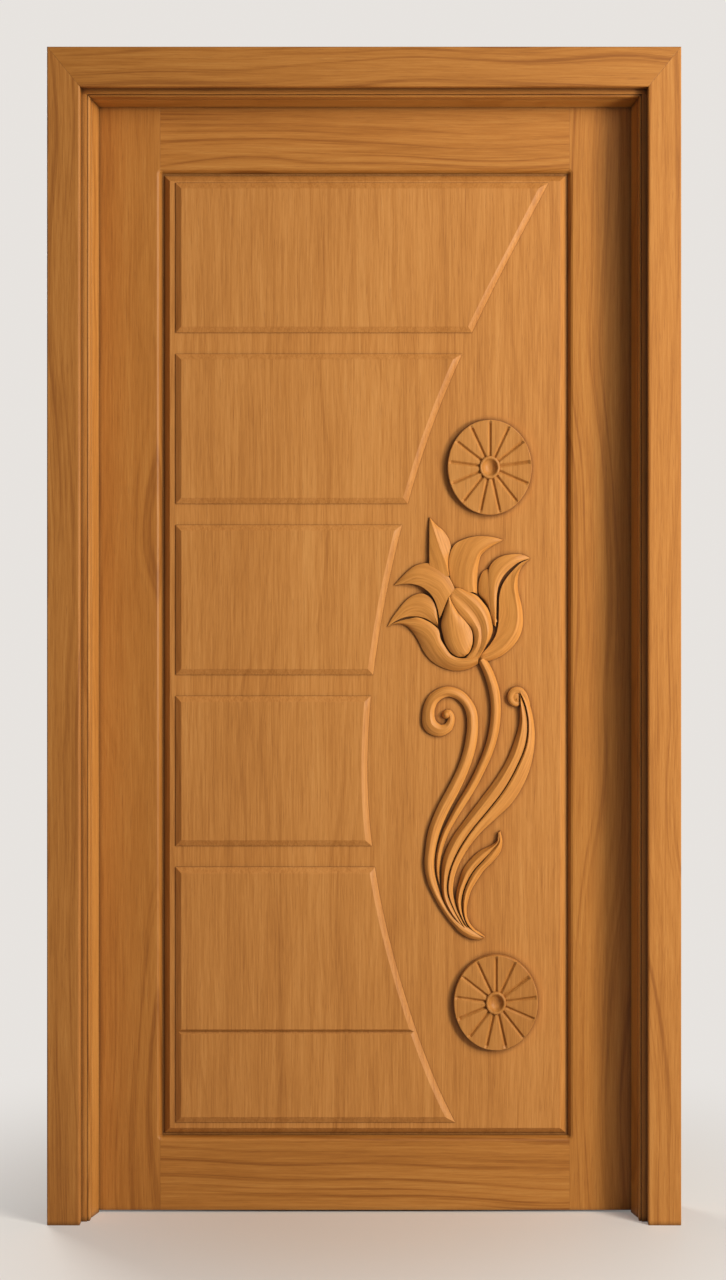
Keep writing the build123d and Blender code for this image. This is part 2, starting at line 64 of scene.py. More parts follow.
class Wire:
    """One output of a node, or just its tree; arithmetic on it adds Math nodes."""

    def __init__(self, tree, socket=None):
        self.tree, self.socket = tree, socket

    def feed(self, kind, inputs=None, settings=None, output=0):
        """A new node: its settings first, then the values or wires of its sockets."""
        node = self.tree.nodes.new(kind)
        for key, value in (settings or {}).items():
            if key == "stops":
                fill_ramp(node.color_ramp, value)
            else:
                setattr(node, key, value)
        for key, value in (inputs or {}).items():
            if isinstance(value, Wire):
                self.tree.links.new(value.socket, node.inputs[key])
            else:
                node.inputs[key].default_value = value
        return Wire(self.tree, node.outputs[output] if len(node.outputs) else None)

    def math(self, operation, *values):
        return self.feed("ShaderNodeMath", dict(enumerate(values)), {"operation": operation})

    def __add__(self, other):
        return self.math("ADD", self, other)

    def __radd__(self, other):
        return self.math("ADD", other, self)

    def __sub__(self, other):
        return self.math("SUBTRACT", self, other)

    def __rsub__(self, other):
        return self.math("SUBTRACT", other, self)

    def __mul__(self, other):
        return self.math("MULTIPLY", self, other)

    def __rmul__(self, other):
        return self.math("MULTIPLY", other, self)


def fill_ramp(ramp, stops):
    while len(ramp.elements) < len(stops):
        ramp.elements.new(1.0)
    for element, (place, colour) in zip(ramp.elements, stops):
        element.position = place
        element.color = (*colour, 1.0)


def new_material(name):
    """An empty material, a wire to start its nodes from and its Object coordinates."""
    material = bpy.data.materials.new(name)
    material.use_nodes = True
    material.node_tree.nodes.clear()
    start = Wire(material.node_tree)
    return material, start, start.feed("ShaderNodeTexCoord", output="Object")


def surfaced(material, start, sockets):
    """The material with one surface shader, given the values or wires of its sockets."""
    shader = start.feed("ShaderNodeBsdfPrincipled", sockets)
    start.feed("ShaderNodeOutputMaterial", {"Surface": shader})
    return material


def noise(cells, detail=2.0, roughness=0.5):
    return cells.feed("ShaderNodeTexNoise", {"Vector": cells, "Scale": 1.0, "Detail": detail,
                                             "Roughness": roughness})


def streaks(place, across, along, detail=2.0, roughness=0.5):
    """Noise drawn out along the grain, by its cells in a metre across and along it."""
    cells = place.feed("ShaderNodeVectorMath", {0: place, 1: (across, across, along)},
                       {"operation": "MULTIPLY"})
    return noise(cells, detail, roughness)


def ramp(value, stops):
    return value.feed("ShaderNodeValToRGB", {0: value}, {"stops": stops})


def mask(value, full, gone):
    """1 where a value is under the first limit, fading to 0 at the second."""
    return ramp(value, [(full, (1.0, 1.0, 1.0)), (gone, (0.0, 0.0, 0.0))])


def mix(factor, a, b):
    return factor.feed("ShaderNodeMix", {0: factor, 6: a, 7: b}, {"data_type": "RGBA"}, 2)


BROWNS = ((0.1, (0.335, 0.122, 0.022)), (0.42, (0.470, 0.190, 0.039)), (0.6, (0.535, 0.228, 0.052)),
          (0.95, (0.640, 0.308, 0.084)))
PORE_BROWN = (0.20, 0.064, 0.011, 1.0)
# Deep brown painted into corners and recesses as shade
PAINTED_SHADE_BROWN = (0.045, 0.013, 0.003, 1.0)
TURNS = {"Z": (0.0, 0.0, 0.0), "X": (0.0, radians(90), 0.0), "course": (radians(90), 0.0, 0.0)}
HEART_DEPTH = 0.07                      # of the tree's heart behind the boards
RING_CELLS = 95.0                       # cells of the ring noise in a metre from the heart


def wood(name, grain, tone, figure, seed, corner, painted_shade=0.9):
    """Golden-brown varnished hardwood, its grain along an axis or a carved course, with shade painted into
    its corners.
    """
    material, start, place = new_material(name)
    source = place
    if grain == "course":
        source = start.feed("ShaderNodeUVMap", settings={"uv_map": "course"})
    board = start.feed("ShaderNodeMapping", {"Vector": source, "Rotation": TURNS[grain],
                                             "Location": (seed, 0.37 * seed, 1.7 * seed)})
    rings = growth(board)
    fibre = streaks(board, 330.0, 11.0, 3.0, 0.6)
    hair = streaks(board, 1300.0, 45.0, 2.0, 0.6)
    streak = streaks(board, 60.0, 2.6, 3.0, 0.55)
    sheet = streaks(board, 9.0, 0.8, 1.0)
    pores = mask(streaks(board, 800.0, 22.0, 2.0, 0.7), 0.30, 0.40)
    late_wood = mask(rings, 0.33, 0.47)
    shade = (0.5 + ((rings - 0.5) * 0.9 - late_wood * 0.35) * figure + (fibre - 0.5) * 0.75
             + (hair - 0.5) * 0.3 + (streak - 0.5) * 0.5 + (sheet - 0.5) * 0.4)
    colour = ramp(shade, [(stop, scaled(brown, tone)) for stop, brown in BROWNS])
    colour = mix(pores * 0.35, colour, PORE_BROWN)
    reach, full, gone = corner
    # Painted shade: the colour darkens towards a deep brown where ambient occlusion finds a corner or recess
    # close by
    openness = place.feed("ShaderNodeAmbientOcclusion", {"Distance": reach}, {"samples": 6}, "AO")
    colour = mix(mask(openness, full, gone) * painted_shade, colour, PAINTED_SHADE_BROWN)
    height = (fibre - 0.5) * 0.6 + (rings - 0.5) * 0.2 - pores * 0.7
    bump = start.feed("ShaderNodeBump", {"Height": height, "Strength": 0.18, "Distance": 0.6 * MM})
    return surfaced(material, start, {
        "Base Color": colour, "Roughness": 0.52 + (fibre - 0.5) * 0.2 + pores * 0.1, "Normal": bump,
        "Specular IOR Level": 0.22, "Coat Weight": 0.10, "Coat Roughness": 0.32})


def growth(board):
    """Growth rings: uneven lines at their distance from the heart of the tree."""
    drift = streaks(board, 3.0, 1.1, 2.0)
    sway = streaks(board, 6.0, 1.6, 1.0)
    across, deep, up = (board.feed("ShaderNodeSeparateXYZ", {0: board}, output=axis) for axis in "XYZ")
    beside = across + (drift - 0.5) * 0.16
    behind = deep + (sway - 0.5) * 0.12 + HEART_DEPTH
    squared = beside * beside + behind * behind
    radius = squared.math("SQRT", squared)
    cells = radius.feed("ShaderNodeCombineXYZ", {0: radius * RING_CELLS, 1: up * 0.7})
    return noise(cells, 3.0, 0.62)


def scaled(colour, tone):
    return tuple(channel * part for channel, part in zip(colour, tone))


def steel(name):
    """Brushed hinge steel."""
    material, start, place = new_material(name)
    brush = streaks(place, 900.0, 30.0)
    colour = ramp(brush, [(0.3, (0.50, 0.48, 0.45)), (0.7, (0.66, 0.64, 0.60))])
    return surfaced(material, start, {"Base Color": colour, "Roughness": 0.3 + brush * 0.14, "Metallic": 1.0})


# How far the painted shade in a corner reaches, how open the corner is where the painted shade is full, and
# where it ends
QUIRKS = (0.011, 0.40, 0.92)
SEATS = (0.011, 0.36, 0.90)
HOLLOWS = (0.009, 0.26, 0.80)
LEAF_TONE = (0.84, 0.81, 0.68)
UPRIGHT = wood("upright_wood", "Z", LEAF_TONE, 0.7, 0.31, QUIRKS)
LEVEL = wood("level_wood", "X", LEAF_TONE, 0.9, 0.77, QUIRKS)
LINING = wood("lining_wood", "Z", (1.02, 1.06, 1.04), 0.6, 0.93, QUIRKS)
CASING = wood("casing_wood", "Z", (0.91, 0.90, 0.86), 0.7, 2.6, QUIRKS)
CASING_LEVEL = wood("casing_level_wood", "X", (0.82, 0.79, 0.67), 1.0, 3.3, QUIRKS)
PANEL = wood("panel_wood", "Z", (1.02, 1.06, 1.17), 0.25, 1.9, SEATS)
CARVED = wood("carved_wood", "course", (1.22, 1.28, 1.32), 0.3, 4.1, HOLLOWS)
ROSETTE = wood("rosette_wood", "Z", (0.96, 1.0, 1.06), 0.25, 5.3, HOLLOWS, 0.3)
STEEL = steel("hinge_steel")


# Joinery

ARRIS = 0.6 * MM                        # eased edge of most boards
REAR_ARRIS = 0.7 * MM
STOP_ARRIS = 0.5 * MM
ROUNDING = 4 * MM                       # of a front casing's inner arris
WELD = 0.01 * MM                        # points nearer than this are one
FLAT, SHARP = radians(0.5), radians(20)


def as_mesh(name, work):
    mesh = bpy.data.meshes.new(name)
    work.to_mesh(mesh)
    work.free()
    return mesh


def in_scene(name, mesh, material):
    thing = bpy.data.objects.new(name, mesh)
    bpy.context.scene.collection.objects.link(thing)
    thing.data.materials.append(material)
    return thing


def finished(name, work, material, body, nodes=()):
    """A piece made from a bmesh, riding a body and standing for CAD nodes."""
    piece = in_scene(name, as_mesh(name, work), material)
    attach(piece, body)
    if nodes:
        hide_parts(*nodes)


def eased(node, width, material, body, rounding=None):
    """The CAD node's own shape with its arrises eased, a casing's inner front arris by more if asked."""
    work = bmesh.new()
    work.from_mesh(NODES[node].data)
    bmesh.ops.remove_doubles(work, verts=work.verts, dist=WELD)
    bmesh.ops.dissolve_limit(work, angle_limit=FLAT, verts=work.verts, edges=work.edges)
    if rounding:
        ease(work, [e for e in sharp_edges(work) if faces_leaf(e, *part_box(node))], rounding, 5)
    ease(work, sharp_edges(work), width)
    finished(node + "_eased", work, material, body, [node])


def sharp_edges(work):
    return [e for e in work.edges if e.is_manifold and e.calc_face_angle() > SHARP]


def faces_leaf(edge, low, high):
    """Whether an edge runs along a casing's front, on the side towards the door's middle."""
    centre, heart = (low + high) / 2, (CAD_BOX[0] + CAD_BOX[1]) / 2
    middle = (edge.verts[0].co + edge.verts[1].co) / 2
    runs_along = edge.calc_length() > 400 * MM
    in_front = middle.y < low.y + 0.5 * MM
    nearer = (middle - heart).xz.length < (centre - heart).xz.length
    return runs_along and in_front and nearer


def ease(work, arrises, width, segments=2):
    bmesh.ops.bevel(work, geom=arrises, offset=width, offset_type="OFFSET", affect="EDGES",
                    segments=segments, profile=0.5, material=-1, clamp_overlap=True)


for side in ("left", "right"):
    eased(f"front_casing_{side}", ARRIS, CASING, "frame", ROUNDING)
    eased(f"rear_casing_{side}", REAR_ARRIS, CASING, "frame")
    eased(f"stop_{side}", STOP_ARRIS, LINING, "frame")
    eased(f"jamb_{side}", ARRIS, LINING, "frame")
eased("front_casing_head", ARRIS, CASING_LEVEL, "frame", ROUNDING)
eased("rear_casing_head", REAR_ARRIS, CASING_LEVEL, "frame")
eased("stop_head", STOP_ARRIS, LEVEL, "frame")
eased("jamb_head", ARRIS, LEVEL, "frame")
for name in ("stile_hinge", "stile_opening"):
    eased(name, ARRIS, UPRIGHT, "leaf")
for name in ("rail_top", "rail_bottom"):
    eased(name, ARRIS, LEVEL, "leaf")
eased("board", ARRIS, PANEL, "leaf")
for count in range(1, 6):
    eased(f"raised_field_{count}", ARRIS, PANEL, "leaf")
for name, node in NODES.items():
    if name.startswith("hinge"):
        node.data.materials[0] = STEEL


# Carving, drawn flat with the board at height 0 and turned up against it when it is finished

EASE = 0.7 * MM                         # eased edge of a petal
SUNK = 0.8 * MM                         # how far the carving's foot stands in the board
FULL_WIDTH = 12 * MM                    # a petal's stretch narrower than this bulges less
TINY = 0.001 * MM                       # points nearer than this are one in the carving
SOFT = radians(16)                      # a carved surface that turns by more shows an edge
FLOWER = (0.2158, 1.0497)               # x and z of the point where the bloom meets its stem
BLOOM_STEP, BLOOM_ORIGIN = 0.00021834, (858, 1393)      # a step of each drawing, and its point at FLOWER
STEM_STEP, STEM_ORIGIN = 0.0019015, (478.5, 660)


def course(points):
    """Smooth line through points, as a function of the share of its length."""
    points = [Vector(point) for point in points]
    gaps = [(b - a).length for a, b in zip(points, points[1:])]
    legs = [(b - a) / gap for a, b, gap in zip(points, points[1:], gaps)]
    slopes = [legs[0]]
    for i in range(1, len(legs)):
        slopes.append((legs[i - 1] * gaps[i] + legs[i] * gaps[i - 1]) / (gaps[i - 1] + gaps[i]))
    slopes.append(legs[-1])

    def at(share):
        rest, i = share * sum(gaps), 0
        while i < len(gaps) - 1 and rest > gaps[i]:
            rest, i = rest - gaps[i], i + 1
        t = rest / gaps[i]
        near, far = points[i], points[i + 1]
        bend = slopes[i] * (gaps[i] * t * (1 - t) ** 2) - slopes[i + 1] * (gaps[i] * t * t * (1 - t))
        return near + (far - near) * (t * t * (3 - 2 * t)) + bend

    return at


def shell(work, sections):
    """Closed shell through cuts with as many points each, the two feet of each cut joined below."""
    rows, columns = len(sections), len(sections[0])
    sheet = laid(work, sections)
    across, along = spread(sections)
    layers = work.loops.layers.uv
    course_uv = layers.get("course") or layers.new("course")
    feet = {0: set(), columns - 1: set()}
    for vertex, row, column in sheet:
        for loop in vertex.link_loops:
            loop[course_uv].uv = (across[row][column], along[row])
        if column in feet:
            feet[column].add(vertex)
    rims = [e for foot in feet.values() for e in work.edges if e.verts[0] in foot and e.verts[1] in foot]
    bmesh.ops.bridge_loops(work, edges=rims)
    open_edges = {e for vertex, row, column in sheet for e in vertex.link_edges if e.is_boundary}
    bmesh.ops.holes_fill(work, edges=list(open_edges), sides=0)


def laid(work, sections):
    """A grid laid over cuts with as many points each, as its vertices with their cut and place in it."""
    rows, columns = len(sections), len(sections[0])
    grid = bmesh.ops.create_grid(work, x_segments=rows - 1, y_segments=columns - 1, size=0.5)["verts"]
    sheet = []
    for vertex in grid:
        row, column = round((vertex.co.x + 0.5) * (rows - 1)), round((vertex.co.y + 0.5) * (columns - 1))
        vertex.co = sections[row][column]
        sheet.append((vertex, row, column))
    return sheet


def spread(sections):
    """Distances across each cut from its middle point, and along the middle line, for the grain."""
    middle = len(sections[0]) // 2
    across = []
    for section in sections:
        steps = [0.0]
        for a, b in zip(section, section[1:]):
            steps.append(steps[-1] + (b - a).length)
        across.append([step - steps[middle] for step in steps])
    along = [0.0]
    for a, b in zip(sections, sections[1:]):
        along.append(along[-1] + (b[middle] - a[middle]).length)
    return across, along


def cut(crests, bulges, across=6):
    """One cut across a petal: its crests joined by flat, full or hollow stretches, its edges eased."""
    line = []
    for a, b, bulge in zip(crests, crests[1:], bulges):
        fullness = bulge * MM * min(1, (b - a).length / FULL_WIDTH)
        for i in range(across):
            t = i / across
            line.append(a.lerp(b, t) + Vector((0, 0, fullness * 4 * t * (1 - t))))
    line.append(crests[-1])
    first, last = line[0], line[-1]
    start, end = (line[1] - first).length, (line[-2] - last).length
    width = min(EASE, 0.3 * start, 0.3 * end)
    inside = [first.lerp(line[1], width / max(TINY, start))]
    inside += line[1:-1] + [last.lerp(line[-2], width / max(TINY, end))]
    down = Vector((0, 0, width))
    return ([Vector((first.x, first.y, -SUNK)), first - down] + inside
            + [last - down, Vector((last.x, last.y, -SUNK))])


def petal(work, step, origin, rails, bulges, rows=40):
    """A petal between rails drawn from its base to its tip, each point (right, down, height in mm)."""
    lines = [course([((x - origin[0]) * step, (origin[1] - y) * step, h * MM) for x, y, h in rail])
             for rail in rails]
    shell(work, [cut([line(i / (rows - 1)) for line in lines], bulges) for i in range(rows)])


def strand(work, route, profile, rows=90):
    """A band along a drawn route of (right, down, half width), with a profile of (across, height in mm)."""
    line = course([((x - STEM_ORIGIN[0]) * STEM_STEP, (STEM_ORIGIN[1] - y) * STEM_STEP, half * STEM_STEP)
                   for x, y, half in route])
    widest = max(half for x, y, half in route) * STEM_STEP
    sections = []
    for i in range(rows):
        share = i / (rows - 1)
        middle = line(share)
        ahead = line(min(1, share + 0.002)) - line(max(0, share - 0.002))
        side = Vector((-ahead.y, ahead.x, 0)).normalized()
        full = min(1, 0.25 + 0.85 * middle.z / widest)
        band = [Vector((middle.x, middle.y, height * MM * full)) + side * (middle.z * across)
                for across, height in profile]
        ends = [Vector((point.x, point.y, -SUNK)) for point in (band[0], band[-1])]
        sections.append([ends[0]] + band + [ends[1]])
    shell(work, sections)


def carved(name, work, node, material):
    """Turns a carving drawn flat up against the board and gives it its wood."""
    stand = Matrix(((1, 0, 0, FLOWER[0]), (0, 0, -1, LEAF_Y), (0, 1, 0, FLOWER[1]), (0, 0, 0, 1)))
    bmesh.ops.transform(work, matrix=stand, verts=work.verts)
    bmesh.ops.recalc_face_normals(work, faces=work.faces)
    for face in work.faces:
        face.smooth = True
    for edge in work.edges:
        edge.smooth = not (edge.is_manifold and edge.calc_face_angle() > SOFT)
    finished(name, work, material, "leaf", [node])


def bloom():
    """The flower, from its back petals to the heart that stands before them."""
    work = bmesh.new()
    back_petals(work)
    right_petals(work)
    left_petals(work)
    flower_heart(work)
    carved("tulip_petals", work, "tulip_bloom", CARVED)


def bloom_petal(work, bulges, rails):
    """A petal by its rails, and how full or hollow it is between one rail and the next."""
    petal(work, BLOOM_STEP, BLOOM_ORIGIN, rails, bulges)


def back_petals(work):
    bloom_petal(work, (0.3, 0.4), [
        [(428, 660, 8), (428, 545, 8), (428, 400, 8), (429, 280, 7), (431, 150, 3)],
        [(600, 660, 12), (562, 520, 12), (516, 400, 11.5), (471, 262, 9.5), (432, 150, 3.5)],
        [(606, 660, 3), (602, 540, 3), (619, 400, 2.5), (601, 340, 2.5), (560, 275, 2.5), (490, 213, 2.5),
         (433, 151, 2)]])
    bloom_petal(work, (1.2, 0.4), [
        [(640, 800, 5), (603, 640, 6), (601, 500, 6), (620, 430, 6), (650, 385, 6), (720, 345, 6),
         (800, 320, 6), (900, 312, 5.5), (1000, 325, 4.5), (1071, 345, 2.5)],
        [(812, 800, 10.5), (802, 700, 11), (810, 600, 11.5), (832, 520, 11.5), (862, 455, 11),
         (925, 400, 10), (1005, 362, 7), (1070, 346, 3)],
        [(848, 815, 3), (848, 700, 3), (861, 560, 3), (880, 482, 3), (930, 432, 3), (1010, 382, 2.5),
         (1072, 348, 2)]])


def right_petals(work):
    bloom_petal(work, (0.8, 0.0), [
        [(980, 1040, 4), (940, 935, 4), (898, 868, 4), (863, 820, 4), (857, 750, 4), (868, 680, 4),
         (897, 622, 4), (934, 598, 3.5)],
        [(1008, 1060, 10.5), (960, 970, 10.5), (948, 870, 10.5), (942, 760, 10.5), (940, 690, 9.6),
         (937, 602, 6)],
        [(1020, 1060, 9), (1000, 970, 9), (990, 870, 9), (984, 760, 9), (975, 690, 8), (940, 604, 4)]])
    bloom_petal(work, (0.8, 0.8), [
        [(985, 1090, 9), (958, 970, 10), (946, 870, 10), (940, 760, 10), (939, 664, 9), (950, 590, 8),
         (985, 535, 7.5), (1040, 496, 7), (1100, 477, 7), (1180, 470, 6.5), (1250, 477, 5),
         (1304, 503, 2.5)],
        [(1000, 1090, 13.5), (1000, 970, 14), (992, 870, 14), (990, 760, 14), (1003, 680, 14),
         (1050, 600, 13.5), (1110, 545, 12.5), (1180, 510, 10.5), (1305, 505, 3)],
        [(1008, 1100, 11), (1012, 1000, 11.5), (1014, 900, 11.5), (1020, 800, 11.5), (1042, 718, 11.5),
         (1082, 650, 11), (1150, 582, 10), (1222, 534, 7.5), (1306, 507, 2.5)]])
    bloom_petal(work, (-0.8, 0.8), [
        [(862, 1388, 8), (885, 1340, 8.5), (952, 1262, 8.5), (1004, 1182, 8.5), (1028, 1080, 8.5),
         (1033, 950, 8.5), (1038, 830, 8.5), (1058, 750, 8.5), (1098, 680, 8.5), (1165, 602, 7.5),
         (1222, 550, 5.5), (1305, 509, 2.5)],
        [(864, 1392, 10), (890, 1370, 11), (950, 1350, 12), (1040, 1300, 12.5), (1110, 1230, 12.5),
         (1165, 1150, 12.5), (1194, 1040, 12.5), (1194, 950, 12.5), (1179, 850, 12.5), (1166, 740, 12),
         (1180, 660, 11), (1222, 590, 8.5), (1306, 511, 3)],
        [(866, 1400, 3.5), (890, 1407, 3.5), (980, 1391, 3.5), (1080, 1341, 3.5), (1160, 1271, 3.5),
         (1220, 1181, 3.5), (1245, 1090, 3.5), (1246, 1000, 3.5), (1231, 900, 3.5), (1206, 800, 3.5),
         (1201, 700, 3.5), (1216, 620, 3.5), (1251, 560, 3), (1308, 513, 2)]])


def left_petals(work):
    bloom_petal(work, (0.6, 0.6), [
        [(507, 1075, 9), (500, 1000, 9.5), (490, 930, 9.5), (461, 870, 9), (420, 832, 8), (360, 812, 7),
         (300, 825, 6), (230, 870, 5), (170, 940, 4.5), (110, 1020, 3.5), (66, 1098, 2)],
        [(506, 1087, 13), (482, 1020, 13), (440, 962, 12.5), (380, 922, 11.5), (310, 910, 9.5),
         (215, 945, 7), (130, 1030, 4.5), (65, 1100, 2.3)],
        [(505, 1105, 9), (470, 1077, 9), (420, 1042, 9), (350, 1017, 8), (280, 1012, 7), (200, 1025, 6),
         (130, 1058, 4), (65, 1103, 2)]])
    bloom_petal(work, (1.0, 0.8), [
        [(650, 770, 13), (632, 728, 12), (580, 640, 9.5), (530, 590, 8), (460, 556, 6.5), (390, 549, 5.5),
         (310, 569, 5), (240, 619, 4.5), (180, 680, 3.5), (124, 738, 2)],
        [(592, 850, 16.5), (560, 790, 16.5), (520, 730, 16), (455, 690, 15), (395, 662, 13.5),
         (300, 655, 11), (205, 694, 7), (124, 740, 2.6)],
        [(518, 1030, 12.5), (497, 930, 13.5), (470, 860, 13.5), (420, 796, 13), (360, 753, 12.5),
         (290, 731, 10.5), (200, 729, 6.5), (125, 742, 2.4)]])
    bloom_petal(work, (0.4, 3.4), [
        [(852, 1352, 12), (760, 1371, 13), (680, 1371, 14), (618, 1342, 14), (567, 1272, 14),
         (527, 1202, 14), (513, 1132, 13.5), (470, 1087, 12.5), (400, 1044, 9.5), (330, 1019, 7.5),
         (250, 1032, 6), (150, 1058, 4), (66, 1099, 2)],
        [(852, 1380, 15.5), (760, 1396, 17), (668, 1393, 17), (597, 1360, 17), (540, 1292, 17),
         (498, 1222, 17), (472, 1160, 16.5), (432, 1112, 15.5), (380, 1078, 14), (315, 1056, 12),
         (240, 1057, 9), (150, 1068, 5.5), (66, 1101, 2.5)],
        [(856, 1423, 4), (780, 1466, 4), (700, 1484, 4), (620, 1481, 4), (530, 1451, 4), (449, 1401, 4),
         (388, 1331, 4), (338, 1231, 4), (288, 1151, 4), (238, 1101, 4), (180, 1077, 3.5), (130, 1077, 3),
         (66, 1104, 2)]])


def flower_heart(work):
    bloom_petal(work, (0.6, -0.3, 0.4, 1.6), [
        [(742, 1378, 11), (800, 1296, 12.5), (816, 1200, 12.5), (797, 1120, 12.5), (743, 1048, 15.5),
         (682, 978, 15.5), (637, 903, 15), (613, 848, 14), (608, 787, 12.5)],
        [(788, 1382, 13), (848, 1250, 18), (856, 1140, 18), (810, 1045, 18), (750, 965, 18),
         (690, 900, 17), (642, 845, 16), (612, 786, 13.5)],
        [(812, 1384, 12.5), (872, 1268, 15.5), (882, 1170, 15.5), (870, 1085, 15.5), (835, 1008, 15.5),
         (780, 936, 15.5), (715, 868, 15.5), (658, 822, 15), (614, 785, 13.5)],
        [(838, 1384, 13), (900, 1285, 19), (930, 1190, 19.5), (928, 1090, 19.5), (893, 990, 19.5),
         (842, 918, 19), (770, 856, 18), (690, 806, 16.5), (618, 784, 13.5)],
        [(862, 1386, 7), (922, 1272, 9), (962, 1200, 9), (982, 1120, 9.5), (972, 1040, 10), (942, 950, 10),
         (892, 882, 10), (842, 831, 10), (760, 793, 11), (668, 763, 12), (622, 782, 12)]])
    bloom_petal(work, (1.2, 3.2), [
        [(735, 1358, 12), (690, 1364, 13), (628, 1334, 13), (577, 1264, 13), (547, 1172, 13),
         (533, 1080, 13), (548, 1000, 13), (568, 920, 13), (596, 850, 13), (606, 786, 12.5)],
        [(736, 1352, 15), (688, 1325, 18.5), (642, 1250, 20.5), (612, 1150, 21), (599, 1050, 21),
         (594, 960, 20), (596, 880, 18), (606, 786, 13.5)],
        [(738, 1356, 12), (768, 1334, 13), (799, 1270, 14), (808, 1190, 14.5), (791, 1118, 15),
         (741, 1048, 15.5), (681, 978, 15.5), (636, 903, 15), (612, 848, 14), (607, 787, 12.5)]])


def stems():
    """The stem, the long scroll, the two leaves beside it and the hearts of the scrolls."""
    work = bmesh.new()
    band = [(-1, 6.5), (-0.97, 7.6), (-0.75, 10), (-0.5, 12), (-0.28, 13.2), (0.05, 12.6), (0.35, 11),
            (0.65, 8.8), (0.9, 6.6), (0.98, 5.4), (1, 4.4)]
    strand(work, [(481.5, 659, 4), (486, 667, 4.6), (491.3, 680, 5), (494.8, 694, 5.2), (495.8, 707, 5),
                  (494.5, 727, 4.9), (489.8, 747, 4.7), (481.6, 767, 4.4), (471.5, 787, 4.2),
                  (459.8, 806, 4), (451.5, 820.5, 3.4), (444.8, 834, 3.1), (440, 849, 2.8),
                  (438, 862, 2.4), (438, 873, 1.6), (439.8, 884, 0.8)], band)
    strand(work, [(445.6, 716.2, 2.6), (445.2, 713.6, 2.7), (448.2, 711.9, 2.9), (451, 715.5, 3.3),
                  (451, 721, 3.7), (447.8, 727.3, 4.6), (439.9, 730.2, 6), (430.8, 725.5, 7.1),
                  (428.4, 713.5, 6.1), (433.2, 699, 5.6), (447.5, 691.3, 5.1), (459.2, 694.8, 5),
                  (466.5, 701.8, 5), (471.2, 711, 5.4), (472.6, 724, 5.5), (471.8, 737, 5.8),
                  (468.5, 753, 5.7), (462.6, 770, 5.6), (453.1, 790, 5.9), (442.8, 809.5, 6),
                  (434.7, 829.5, 5.8), (430.6, 849, 5.2), (429.5, 866, 4.9), (431.9, 880.5, 4.4),
                  (436.6, 893, 3.7), (444.2, 906.5, 3.8), (454.5, 920.5, 3.9), (463.5, 928.5, 5),
                  (472.5, 933.5, 5), (480, 936, 3.2), (484.8, 936.6, 0.6)], band, 220)
    leaves(work)
    buttons(work)
    carved("scroll_strands", work, "scroll_stems", CARVED)


def lobe(work, left, right, crest, low_left, low_right, rows=70):
    """One lobe of a leaf drawn from its tip down, with a crest at a share of the way across it."""
    a, b = course([(x, y, 0) for x, y in left]), course([(x, y, 0) for x, y in right])
    rails = [[], [], []]
    stops = rows // 2
    for i in range(stops):
        near, far = a(i / (stops - 1)), b(i / (stops - 1))
        full = min(1, (far - near).length / 5)
        heights = (low_left, 7 + 5.6 * full, low_right)
        for rail, share, height in zip(rails, (0, crest, 1), heights):
            point = near.lerp(far, share)
            rail.append((point.x, point.y, height))
    petal(work, STEM_STEP, STEM_ORIGIN, rails, (0.4, 1.0), rows)


def beside(points, shift):
    return [(x + shift, y) for x, y in points]


def leaves(work):
    """The long leaf and the small one, each of two lobes that meet in a groove."""
    groove = [(519.5, 692), (524, 703), (527.6, 722), (525.6, 744), (516, 768), (503.5, 790), (488, 810),
              (471.5, 830), (458.5, 850), (449.5, 872), (448, 893), (454.5, 910), (459, 918.5), (464, 927)]
    outer = [(520.5, 688), (528.5, 701), (533.5, 720), (534.5, 742), (530.5, 766), (522.5, 786),
             (511.5, 803), (497, 817), (480, 833), (465.5, 852), (455.2, 874), (453, 893), (457.8, 910),
             (462, 919.5), (466, 927.5)]
    inner = [(521, 700), (519.7, 710), (519.7, 720), (517.7, 730), (514.7, 740), (506.7, 760),
             (494.7, 780), (479.7, 800), (464.7, 820), (450.7, 840), (442.7, 860), (441.3, 880),
             (443.7, 900), (448.5, 910), (456, 920), (463, 926.5)]
    lobe(work, inner, beside(groove, -0.5), 0.40, 4.5, 8.5)
    lobe(work, beside(groove, 0.5), outer, 0.14, 10.2, 6.0)
    left = [(498, 832), (496.4, 841.5), (490.9, 845.3), (480.7, 850), (469.7, 860), (462.7, 870),
            (459.6, 880), (456.7, 890), (455.7, 900), (458, 910), (461.5, 917.5), (466.5, 926)]
    right = [(500.2, 830.5), (502.5, 841), (501, 850), (494, 860), (484, 870), (477.2, 880), (471.3, 890),
             (468.3, 900), (466.8, 910), (468.4, 920), (473.5, 927.5), (479, 932.5), (484.8, 936.2)]
    meeting = [(499.4, 831.5), (498.8, 841), (492, 850)]
    left_side = [(482.5, 860), (473.4, 870), (467.4, 880), (463.4, 890), (461.4, 900), (461.7, 910),
                 (463.9, 919), (467.5, 926.5)]
    right_side = [(483.6, 860), (474.6, 870), (468.6, 880), (464.6, 890), (462.6, 900), (462.9, 910),
                  (465.1, 919), (470.5, 927.5), (477.5, 933), (484.4, 936.4)]
    lobe(work, left, meeting + left_side, 0.45, 4.5, 8.5, 50)
    lobe(work, meeting + right_side, right, 0.3, 9.0, 4.5, 50)


